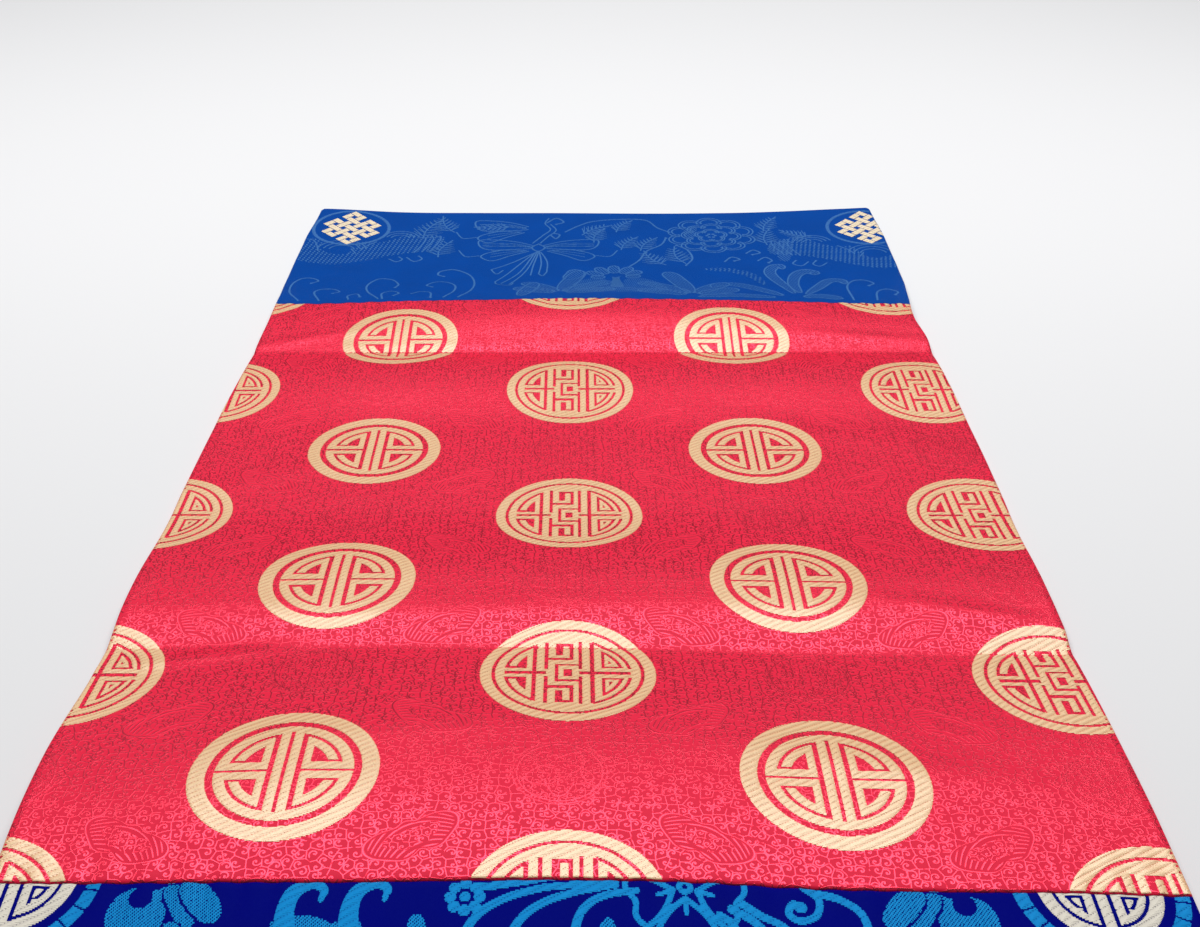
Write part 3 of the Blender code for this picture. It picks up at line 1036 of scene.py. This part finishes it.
def near_band_figures():
    """The near band's bold azure figures, on a draft: one repeat between the two roundels, and a border."""
    draft = Draft(*NEAR_DRAFT)
    page = Pen(draft, 0, 0)
    line = 1.5
    for x, y in NEAR_ROUNDELS:
        segmented_ring(page.at(x, y), 20.0, 3.6, 24)
    lotus(page.at(-95, -1), line)
    lotus(page.at(92, -1, flip=-1), line)
    comma_leaf(page.at(-67.5, -7.5))
    comma_leaf(page.at(-52, -7.5))
    for foot in (
        [(-69, -9), (-62, -7), (-54, -9.5), (-50, -16), (-54, -26), (-62, -30), (-68, -20)],
        [(-54, -9), (-48, -8), (-46, -18), (-52, -26), (-58, -30)],
    ):
        page.fill(foot, weave=thread_hatch)
    page.blade([(-34, -7), (-33.5, -15), (-30, -24)], 5.5, thread_hatch)
    rosette(page.at(-22.7, -2.6), 5.0)
    for stroke in (
        [(-19, 0), (-10, 1.2), (0, 3)],
        [(-24, -16), (-20, -8), (-14, -3.6), (-5, -0.6), (6, 0.8), (14, 1.5)],
        [(-14, -18), (-9, -8.5), (-3, -4), (5, -1.2), (14, 0.6)],
        [(3, -20), (4.6, -9), (8, -4), (13, -1.8), (19, -0.8)],
        [(44, -3), (49, -6.5), (54, -9), (60, -16)],
        [(42, -5), (47, -8), (51, -13), (53, -20)],
        [(39, -7), (42, -9), (44, -15)],
        [(62, 1), (69, -1.2), (73.5, -5), (74, -12), (70, -22)],
    ):
        page.line(stroke, 2.3, 1.9)
    page.hook([(60, 2), (63.5, -1), (62.5, -5.5), (58.5, -7.4), (55.8, -5.5), (57, -2.8), (58.8, -3.6)], 1.9)
    page.blade([(12, -8), (12.3, -14), (16, -22)], 4.4, thread_hatch)
    blossom(page.at(31, 0.5), 14, line)
    for x, y, flip in ((-38, -52, 1), (34, -54, -1), (-92, -42, -1), (98, -44, 1), (4, -34, 1)):
        scroll(page.at(x, y, flip=flip), 2.2)
        comma_leaf(page.at(x + 12 * flip, y - 10, turn=-20 * flip, flip=flip))
    for x, y in ((66, -62), (-66, -66), (0, -82)):
        blossom(page.at(x, y), 15, line)
        rosette(page.at(x + 26, y + 12), 5.0)
    for x, y, turn in (
        (46, -66, 175), (84, -58, 30), (-46, -70, 5), (-86, -60, 150), (22, -86, 20), (-22, -86, 160),
    ):
        page.at(x, y, turn=turn).blade([(0, 0), (8, 2), (16, 0)], 7, thread_hatch)
    lotus(page.at(-98, -84, turn=180, flip=-1), line)
    lotus(page.at(100, -84, turn=180), line)
    wave_border(page.at(0, NEAR_END / MM + 3), -140, 160, line)
    return draft


# ----------------------------------------------------------------------------------------------------
# Finishes
# ----------------------------------------------------------------------------------------------------

FINE_LINE = 0.2 * MM  # half width of the damask's single lines


class Wire:
    """One value in a material's node tree, on which sums can be written."""

    def __init__(self, socket):
        self.socket = socket

    @property
    def tree(self):
        return self.socket.id_data

    def __add__(self, other):
        return maths("ADD", self, other)

    def __sub__(self, other):
        return maths("SUBTRACT", self, other)

    def __mul__(self, other):
        return maths("MULTIPLY", self, other)

    def __truediv__(self, other):
        return maths("DIVIDE", self, other)


def put(tree, socket, value):
    """Links a wire to a socket, or sets the socket to a plain value."""
    if isinstance(value, Wire):
        tree.links.new(value.socket, socket)
    else:
        socket.default_value = value


def maths(operation, *values):
    tree = next(value.tree for value in values if isinstance(value, Wire))
    node = tree.nodes.new("ShaderNodeMath")
    node.operation = operation
    for socket, value in zip(node.inputs, values):
        put(tree, socket, value)
    return Wire(node.outputs[0])


def ramp(value, low, high):
    """0 below low, 1 above high and smooth between them."""
    node = value.tree.nodes.new("ShaderNodeMapRange")
    node.interpolation_type = "SMOOTHSTEP"
    put(value.tree, node.inputs["Value"], value)
    node.inputs["From Min"].default_value = low
    node.inputs["From Max"].default_value = high
    return Wire(node.outputs["Result"])


def line_at(value, place, half, soft):
    """1 on a line where the value is near the place, 0 off it."""
    away = maths("ABSOLUTE", value - place)
    return ramp(away * -1.0, -half - soft, -half + soft)


def rest_of(share):
    """What a share leaves: 1 where it is 0, and 0 where it is 1."""
    return share * -1.0 + 1.0


def either(*wires):
    """The highest of the wires."""
    highest = wires[0]
    for wire in wires[1:]:
        highest = maths("MAXIMUM", highest, wire)
    return highest


def blend(share, low, high):
    """A colour between low and high."""
    tree = share.tree
    node = tree.nodes.new("ShaderNodeMix")
    node.data_type = "RGBA"
    put(tree, node.inputs["Factor"], share)
    put(tree, node.inputs[6], low if isinstance(low, Wire) else (*low, 1.0))
    put(tree, node.inputs[7], high if isinstance(high, Wire) else (*high, 1.0))
    return Wire(node.outputs[2])


def first_two(vector):
    """A vector's first two parts."""
    parts = vector.tree.nodes.new("ShaderNodeSeparateXYZ")
    put(vector.tree, parts.inputs[0], vector)
    return Wire(parts.outputs[0]), Wire(parts.outputs[1])


def pattern_places(tree):
    """The places across and along on the flat cloth, and both as one vector."""
    node = tree.nodes.new("ShaderNodeUVMap")
    node.uv_map = "cloth"
    places = Wire(node.outputs[0])
    return (*first_two(places), places)


def noise_of(places, scale, detail=2.0):
    node = places.tree.nodes.new("ShaderNodeTexNoise")
    node.noise_dimensions = "2D"
    put(places.tree, node.inputs["Vector"], places)
    node.inputs["Scale"].default_value = scale
    node.inputs["Detail"].default_value = detail
    return Wire(node.outputs["Fac"])


def new_finish(name):
    """A material and its main shader."""
    material = bpy.data.materials.new(name)
    material.use_nodes = True
    return material, material.node_tree, material.node_tree.nodes["Principled BSDF"]


def bumped(tree, shader, height, depth):
    """Gives the shader a relief of the given depth in metres, from a height between 0 and 1."""
    bump = tree.nodes.new("ShaderNodeBump")
    bump.inputs["Strength"].default_value = 1.0
    bump.inputs["Distance"].default_value = depth
    put(tree, bump.inputs["Height"], height)
    tree.links.new(bump.outputs[0], shader.inputs["Normal"])


def scattered_cells(places, size, feature):
    """Cells round the points of an uneven scatter, about a size apart."""
    node = places.tree.nodes.new("ShaderNodeTexVoronoi")
    node.voronoi_dimensions = "2D"
    node.feature = feature
    node.inputs["Scale"].default_value = 1 / size
    node.inputs["Randomness"].default_value = 0.7
    put(places.tree, node.inputs["Vector"], places)
    return node


def curls(places, across, along, size):
    """Lines of small curls: a short spiral round each point of an uneven scatter, and the rims between."""
    tree = places.tree
    cell = scattered_cells(places, size, "F1")
    middle_across, middle_along = first_two(Wire(cell.outputs["Position"]))
    chance = tree.nodes.new("ShaderNodeSeparateColor")
    tree.links.new(cell.outputs["Color"], chance.inputs[0])
    angle = maths("ARCTAN2", along - middle_along, across - middle_across)
    turned = maths("FRACT", angle / (2 * pi) + Wire(chance.outputs[0]))
    reach = Wire(cell.outputs["Distance"])
    curl = line_at(reach - turned * 0.46, 0.0, 0.076, 0.024) * ramp(turned, 0.12, 0.2)
    eye = ramp(reach * -1.0, -0.13, -0.09)
    border = scattered_cells(places, size, "DISTANCE_TO_EDGE")
    rim = line_at(Wire(border.outputs["Distance"]), 0.0, 0.060, 0.024)
    worn = ramp(noise_of(places, 1.1 / size, 1.0), 0.30, 0.36)
    return either(curl, eye, rim * worn)


def twill(across, along, step):
    """Fine slanting ribs of the ground weave."""
    return maths("SINE", (across + along * 1.7) * (2 * pi / step)) * 0.5 + 0.5


def ghost_roundel(right, away, radius, small_curls):
    """The lines of a tone-on-tone roundel, from places counted from its middle, and 1 inside it."""
    reach = maths("SQRT", right * right + away * away)
    scallop = maths("SINE", maths("ARCTAN2", away, right) * 5.0) * (0.12 * radius)
    lines = either(
        line_at(reach, radius, FINE_LINE * 1.4, FINE_LINE),
        line_at(reach, radius * 0.90, FINE_LINE, FINE_LINE * 0.7),
        line_at(reach + scallop, radius * 0.62, FINE_LINE, FINE_LINE),
        line_at(reach - scallop, radius * 0.34, FINE_LINE, FINE_LINE),
        small_curls,
    )
    return lines, ramp(reach * -1.0, -radius * 1.03, -radius * 0.97)


def hatched_gourd(right, away, slant, small_curls):
    """The lines of a gourd that leans to the side of the slant's sign, and 1 inside it."""
    leaning, rising = right * 0.88 + away * slant * 0.47, away * 0.88 - right * slant * 0.47
    reach = maths("SQRT", leaning * leaning * 0.42 + rising * rising * 1.5)
    angle = maths("ARCTAN2", rising, leaning)
    waist = maths("COSINE", angle * 2.0) * (1.0 * MM) + maths("SINE", angle * 5.0) * (0.7 * MM)
    outline = reach - waist
    bow = (rising + leaning * leaning * 45.0) / (1.7 * MM)
    hatch = line_at(maths("FRACT", bow), 0.5, 0.17, 0.06) * ramp(outline * -1.0, -6.6 * MM, -6.2 * MM)
    heart = ramp(outline * -1.0, -4.0 * MM, -3.6 * MM)
    lines = either(
        line_at(outline, 7.2 * MM, FINE_LINE, FINE_LINE * 0.6),
        hatch * rest_of(heart),
        small_curls * heart,
    )
    return lines, ramp(outline * -1.0, -7.6 * MM, -7.3 * MM)


def damask_lines(across, along, places, settings, roundels):
    """1 on the damask's lines: curls all over, ghost roundels in half of the gaps, and gourds between them."""
    column, row = roundels.column_step, roundels.row_step / 2
    u = across / column
    v = (along - roundels.first_row) / row
    small_curls = curls(places, across, along, settings.curl * 0.75)
    near_u, near_v = maths("ROUND", u), maths("ROUND", v)
    parity = maths("FRACT", (near_u + near_v) * 0.5 + 0.25)
    right, away = (u - near_u) * column, (v - near_v) * row
    roundel, in_roundel = ghost_roundel(right, away, settings.ghost_radius, small_curls)
    in_roundel = in_roundel * rest_of(ramp(parity, 0.5, 0.51))
    half_u, half_v = maths("FLOOR", u) + 0.5, maths("FLOOR", v) + 0.5
    slant = ramp(maths("FRACT", (half_u + half_v) * 0.5), 0.2, 0.3) * 2.0 - 1.0
    right, away = (u - half_u) * column, (v - half_v) * row
    gourd, in_gourd = hatched_gourd(right, away, slant, small_curls)
    ground = curls(places, across, along, settings.curl) * rest_of(in_roundel) * rest_of(in_gourd)
    return maths("MINIMUM", ground + roundel * in_roundel + gourd * in_gourd, 1.0)


def red_damask(settings, roundels):
    """Red satin with glossy lines of curls, ghost roundels and gourds, which a slope turns dark or bright."""
    material, tree, shader = new_finish("red damask satin")
    across, along, places = pattern_places(tree)
    lines = damask_lines(across, along, places, settings, roundels)
    tone = noise_of(places, 22.0, 3.0)
    satin_share = maths("MINIMUM", lines * -0.96 + tone * 0.12 + 0.92, 1.0)
    put(tree, shader.inputs["Base Color"], blend(satin_share, settings.figure, settings.satin))
    put(tree, shader.inputs["Roughness"], lines * -0.27 + 0.50)
    put(tree, shader.inputs["Metallic"], lines * 0.74)
    shader.inputs["Specular IOR Level"].default_value = 0.3
    shader.inputs["Specular Tint"].default_value = (1.0, 0.30, 0.36, 1.0)
    bumped(tree, shader, lines + twill(across, along, 0.5 * MM) * 0.15, settings.relief)
    return material


def blue_satin(name, colour, shade):
    """Smooth blue satin with a fine twill."""
    material, tree, shader = new_finish(name)
    across, along, places = pattern_places(tree)
    cloudy = noise_of(places, 60.0, 3.0)
    ribs = twill(across, along, 0.55 * MM)
    dark = tuple(value * shade for value in colour)
    put(tree, shader.inputs["Base Color"], blend(cloudy * 0.5 + ribs * 0.35 + 0.1, dark, tuple(colour)))
    put(tree, shader.inputs["Roughness"], cloudy * 0.1 + 0.42)
    shader.inputs["Specular IOR Level"].default_value = 0.06
    shader.inputs["Specular Tint"].default_value = (0.02, 0.2, 1.0, 1.0)
    bumped(tree, shader, ribs * 0.35 + noise_of(places, 900.0, 2.0) * 0.6, 0.05 * MM)
    return material


def cloth_back(name, colour):
    """The wrong side of a brocade: duller and rougher, with loose wefts."""
    material, tree, shader = new_finish(name)
    _, along, places = pattern_places(tree)
    wefts = maths("SINE", along * (2 * pi / (0.8 * MM))) * 0.5 + 0.5
    slub = noise_of(places, 140.0, 3.0)
    dark = tuple(value * 0.45 for value in colour)
    put(tree, shader.inputs["Base Color"], blend(wefts * 0.4 + slub * 0.6, dark, tuple(colour)))
    shader.inputs["Roughness"].default_value = 0.8
    shader.inputs["Specular IOR Level"].default_value = 0.2
    bumped(tree, shader, wefts * 0.6 + slub * 0.4, 0.08 * MM)
    return material


def weft_finish(name, colour, tie_shade_colour, roughness, specular, glint=(1.0, 0.95, 0.82)):
    """Silky weft with painted shade that darkens it towards the tied ends of each float, where it dips, and
    that glints in a colour of its own.
    """
    material, tree, shader = new_finish(name)
    _, along, places = pattern_places(tree)
    node = tree.nodes.new("ShaderNodeAttribute")
    node.attribute_name = "tied"
    # Painted shade: the tie shade colour is strongest at each float's tied ends and fades towards its middle.
    tied = maths("POWER", Wire(node.outputs["Fac"]), 2.0)
    uneven = noise_of(places, 700.0, 2.0)
    streaks = noise_of(places, 45.0, 2.0)
    share = maths("MINIMUM", tied * 0.6 + uneven * 0.25 + streaks * 0.12 - 0.06, 1.0)
    put(tree, shader.inputs["Base Color"], blend(share, tuple(colour), tuple(tie_shade_colour)))
    put(tree, shader.inputs["Roughness"], uneven * 0.12 + roughness)
    shader.inputs["Specular IOR Level"].default_value = specular
    shader.inputs["Specular Tint"].default_value = (*glint, 1.0)
    shader.inputs["IOR"].default_value = 1.6
    shader.inputs["Anisotropic"].default_value = 0.3
    strands = maths("SINE", along * (2 * pi / (0.14 * MM)) + uneven * 3.0) * 0.5 + 0.5
    bumped(tree, shader, strands * 0.5 + uneven * 0.5, 0.002 * MM)
    return material


def floor_finish(colour):
    """A matt floor with painted shade that darkens it a little into the distance, where the light falls off.
    """
    material, tree, shader = new_finish("pale floor")
    coordinates = tree.nodes.new("ShaderNodeTexCoord")
    _, distance = first_two(Wire(coordinates.outputs["Object"]))
    # Painted shade: the floor's colour darkens with distance and stands in for the light's falloff.
    falloff_shade_share = ramp(distance, 0.2, 1.0)
    falloff_shade_colour = tuple(value * 0.83 for value in colour)
    put(tree, shader.inputs["Base Color"], blend(falloff_shade_share, tuple(colour), falloff_shade_colour))
    shader.inputs["Roughness"].default_value = 0.9
    shader.inputs["Specular IOR Level"].default_value = 0.1
    return material


# ----------------------------------------------------------------------------------------------------
# Operators
# ----------------------------------------------------------------------------------------------------


def declare_sheet(piece, node):
    """Hangs a piece on the root body, hides the node's part that it stands in for, and hangs the figures woven
    on it on the root body too.
    """
    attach(piece, "root")
    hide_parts(node)
    woven = [o for o in bpy.data.objects if o.get("woven_on") == piece.name]
    for figure in woven:
        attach(figure, "root")


class BROCADE_OT_red_panel(bpy.types.Operator):
    """Lay the red damask centre panel on its folds"""

    bl_idname = "brocade.red_panel"
    bl_label = "Red centre panel"

    def execute(self, context):
        scene = context.scene
        face = red_damask(scene.brocade_ground, scene.brocade_roundels)
        back = cloth_back("red damask back", scene.brocade_ground.satin)
        cloth_sheet("red_panel", NEAR_SEAM, FAR_SEAM, scene.brocade_cloth.panel_cell, face, back)
        return {"FINISHED"}


class BROCADE_OT_blue_bands(bpy.types.Operator):
    """Lay the two blue end bands on their folds"""

    bl_idname = "brocade.blue_bands"
    bl_label = "Blue end bands"

    def execute(self, context):
        bands, cell = context.scene.brocade_bands, context.scene.brocade_cloth.band_cell
        # The royal satin is the navy with painted sheen, for the far band seen at a grazing angle.
        royal = blue_satin("royal blue satin", bands.royal, 0.7)
        navy = blue_satin("navy satin", bands.navy, 0.7)
        cloth_sheet("blue_far_band", FAR_SEAM, FAR_END, cell, royal, cloth_back("royal back", bands.royal))
        cloth_sheet("blue_near_band", NEAR_END, NEAR_SEAM, cell, navy, cloth_back("navy back", bands.navy))
        return {"FINISHED"}


class BROCADE_OT_gold_roundels(bpy.types.Operator):
    """Weave the gold roundels of the red panel, one piece for each side and one for the middle"""

    bl_idname = "brocade.gold_roundels"
    bl_label = "Gold roundels"

    def execute(self, context):
        settings = context.scene.brocade_roundels
        # The tied gold is painted shade at the tied ends of the floats.
        gold = weft_finish("gold weft", settings.gold, settings.tied, 0.22, 1.0)
        step = settings.column_step
        for name, columns in (("left", (-2, -1)), ("middle", (0,)), ("right", (1, 2))):
            draft = Draft((min(columns) - 0.4) * step, (max(columns) + 0.4) * step, NEAR_SEAM, FAR_SEAM)
            for column in columns:
                barred = column % 2 == 1
                figure = barred_roundel if barred else fretted_roundel
                radius = (settings.barred if barred else settings.fretted) / 2
                for row in range(-1, 5):
                    along = settings.first_row + (row + (0.0 if barred else 0.5)) * settings.row_step
                    shift = 0.0 if barred else settings.fretted_shift
                    draft.stamp(figure, column * step + shift, along, radius)
            piece = woven_piece(f"gold_roundels_{name}", draft.floats(), NEAR_SEAM, FAR_SEAM, 0.16 * MM, gold)
            piece["woven_on"] = "red_panel"
        return {"FINISHED"}


class BROCADE_OT_far_band_figures(bpy.types.Operator):
    """Weave the far band's pale figures and its two gold knots"""

    bl_idname = "brocade.far_band_figures"
    bl_label = "Far band figures"

    def execute(self, context):
        bands, roundels = context.scene.brocade_bands, context.scene.brocade_roundels
        # The pale blue is the azure of the figures with its contrast taken down by painted sheen.
        near, far = FAR_SEAM, FAR_END
        # The second colour of each weft finish here is painted shade at the tied ends of its floats.
        pale = weft_finish("pale blue weft", bands.pale, bands.royal, 0.4, 0.5, (0.2, 0.5, 1.0))
        figures = woven_piece("pale_figures", far_band_figures().floats(), near, far, 0.10 * MM, pale)
        draft = Draft(*FAR_DRAFT)
        for x, y in FAR_ROUNDELS:
            draft.stamp(endless_knot, x * MM, y * MM, KNOT_REACH, scaled=False)
        gold = weft_finish("pale gold weft", (0.90, 0.80, 0.60), roundels.gold, 0.36, 0.6)
        knots = woven_piece("gold_knots", draft.floats(), near, far, 0.16 * MM, gold)
        for piece in (figures, knots):
            piece["woven_on"] = "blue_far_band"
        return {"FINISHED"}


class BROCADE_OT_near_band_figures(bpy.types.Operator):
    """Weave the near band's azure figures and its ivory roundels"""

    bl_idname = "brocade.near_band_figures"
    bl_label = "Near band figures"

    def execute(self, context):
        bands = context.scene.brocade_bands
        # The second colour of each weft finish here is painted shade at the tied ends of its floats.
        azure = weft_finish("azure weft", bands.azure, (0.0, 0.15, 0.48), 0.4, 0.5, (0.0, 0.45, 1.0))
        floats = near_band_figures().floats()
        figures = woven_piece("azure_figures", floats, NEAR_END, NEAR_SEAM, 0.12 * MM, azure)
        draft = Draft(*NEAR_DRAFT)
        for x, y in NEAR_ROUNDELS:
            draft.stamp(hooked_roundel, x * MM, y * MM, HOOKED_RADIUS)
        ivory = weft_finish("ivory weft", bands.ivory, (0.55, 0.50, 0.45), 0.4, 0.5)
        roundels = woven_piece("ivory_roundels", draft.floats(), NEAR_END, NEAR_SEAM, 0.16 * MM, ivory)
        for piece in (figures, roundels):
            piece["woven_on"] = "blue_near_band"
        return {"FINISHED"}


class BROCADE_OT_sew_together(bpy.types.Operator):
    """Give each cloth its woven figures and its place on the frame"""

    bl_idname = "brocade.sew_together"
    bl_label = "Sew together"

    def execute(self, context):
        for name, length, node, slot in (
            ("red_panel", FAR_SEAM - NEAR_SEAM + 0.006, "centre_panel", "red_brocade"),
            ("blue_far_band", FAR_END - FAR_SEAM + 0.001, "far_band", "royal_blue_brocade"),
            ("blue_near_band", NEAR_SEAM - NEAR_END + 0.002, "near_band", "navy_blue_brocade"),
        ):
            declare_sheet(bpy.data.objects[name], node)
        return {"FINISHED"}


class BROCADE_OT_stage(bpy.types.Operator):
    """Set up the floor, the lights and the camera"""

    bl_idname = "brocade.stage"
    bl_label = "Stage"

    def execute(self, context):
        settings = context.scene.brocade_stage
        bpy.ops.object.select_all(action="DESELECT")
        bpy.ops.mesh.primitive_plane_add(size=8.0, location=(0.0, 1.5, -0.0002))
        floor = context.object
        floor.name = "floor"
        bpy.ops.object.transform_apply()
        floor.data.materials.append(floor_finish(settings.floor))
        self.light_overhead(context.scene, settings)
        self.place_camera(context.scene, settings)
        return {"FINISHED"}

    def light_overhead(self, scene, settings):
        world = bpy.data.worlds.new("soft room")
        world.use_nodes = True
        background = world.node_tree.nodes["Background"]
        background.inputs["Color"].default_value = (0.97, 0.98, 1.0, 1.0)
        background.inputs["Strength"].default_value = settings.sky
        scene.world = world
        softbox = bpy.data.lights.new("softbox", "AREA")
        softbox.shape = "RECTANGLE"
        softbox.size, softbox.size_y = 1.9, 1.7
        softbox.energy = settings.softbox
        lamp = bpy.data.objects.new("softbox", softbox)
        lamp.location = (0.0, 0.72, 1.55)
        scene.collection.objects.link(lamp)
        scene.view_settings.view_transform = "Standard"

    def place_camera(self, scene, settings):
        data = bpy.data.cameras.new("camera")
        data.lens = settings.lens
        data.sensor_width = 36.0
        data.shift_x = 0.0296
        data.clip_start = 0.01
        camera = bpy.data.objects.new("camera", data)
        camera.location = (
            CENTRE_LINE_X + PATTERN_MIDDLE + 4.0 * MM,
            ALONG_ZERO_Y - settings.camera_back,
            settings.camera_height,
        )
        camera.rotation_euler = Euler((pi / 2 - settings.tilt, 0.0033, 0.0064))
        scene.collection.objects.link(camera)
        scene.camera = camera


class BROCADE_PT_panel(bpy.types.Panel):
    """Lists the pieces and their settings"""

    bl_idname = "BROCADE_PT_panel"
    bl_label = "Brocade panel"
    bl_space_type = "VIEW_3D"
    bl_region_type = "UI"
    bl_category = "Brocade"

    def draw(self, context):
        for group, settings in SETTINGS.items():
            box = self.layout.box()
            for name in settings.__annotations__:
                box.prop(getattr(context.scene, group), name)
        for operator in OPERATORS:
            self.layout.operator(operator.bl_idname)


OPERATORS = (
    BROCADE_OT_red_panel,
    BROCADE_OT_blue_bands,
    BROCADE_OT_gold_roundels,
    BROCADE_OT_far_band_figures,
    BROCADE_OT_near_band_figures,
    BROCADE_OT_sew_together,
    BROCADE_OT_stage,
)


def register():
    for settings in SETTINGS.values():
        bpy.utils.register_class(settings)
    for name, settings in SETTINGS.items():
        setattr(bpy.types.Scene, name, PointerProperty(type=settings))
    for operator in OPERATORS:
        bpy.utils.register_class(operator)
    bpy.utils.register_class(BROCADE_PT_panel)


def unregister():
    bpy.utils.unregister_class(BROCADE_PT_panel)
    for operator in reversed(OPERATORS):
        bpy.utils.unregister_class(operator)
    for name in SETTINGS:
        delattr(bpy.types.Scene, name)
    for settings in SETTINGS.values():
        bpy.utils.unregister_class(settings)


def main():
    register()
    bpy.ops.brocade.red_panel()
    bpy.ops.brocade.blue_bands()
    bpy.ops.brocade.gold_roundels()
    bpy.ops.brocade.far_band_figures()
    bpy.ops.brocade.near_band_figures()
    bpy.ops.brocade.sew_together()
    bpy.ops.brocade.stage()


if __name__ == "__main__":
    main()
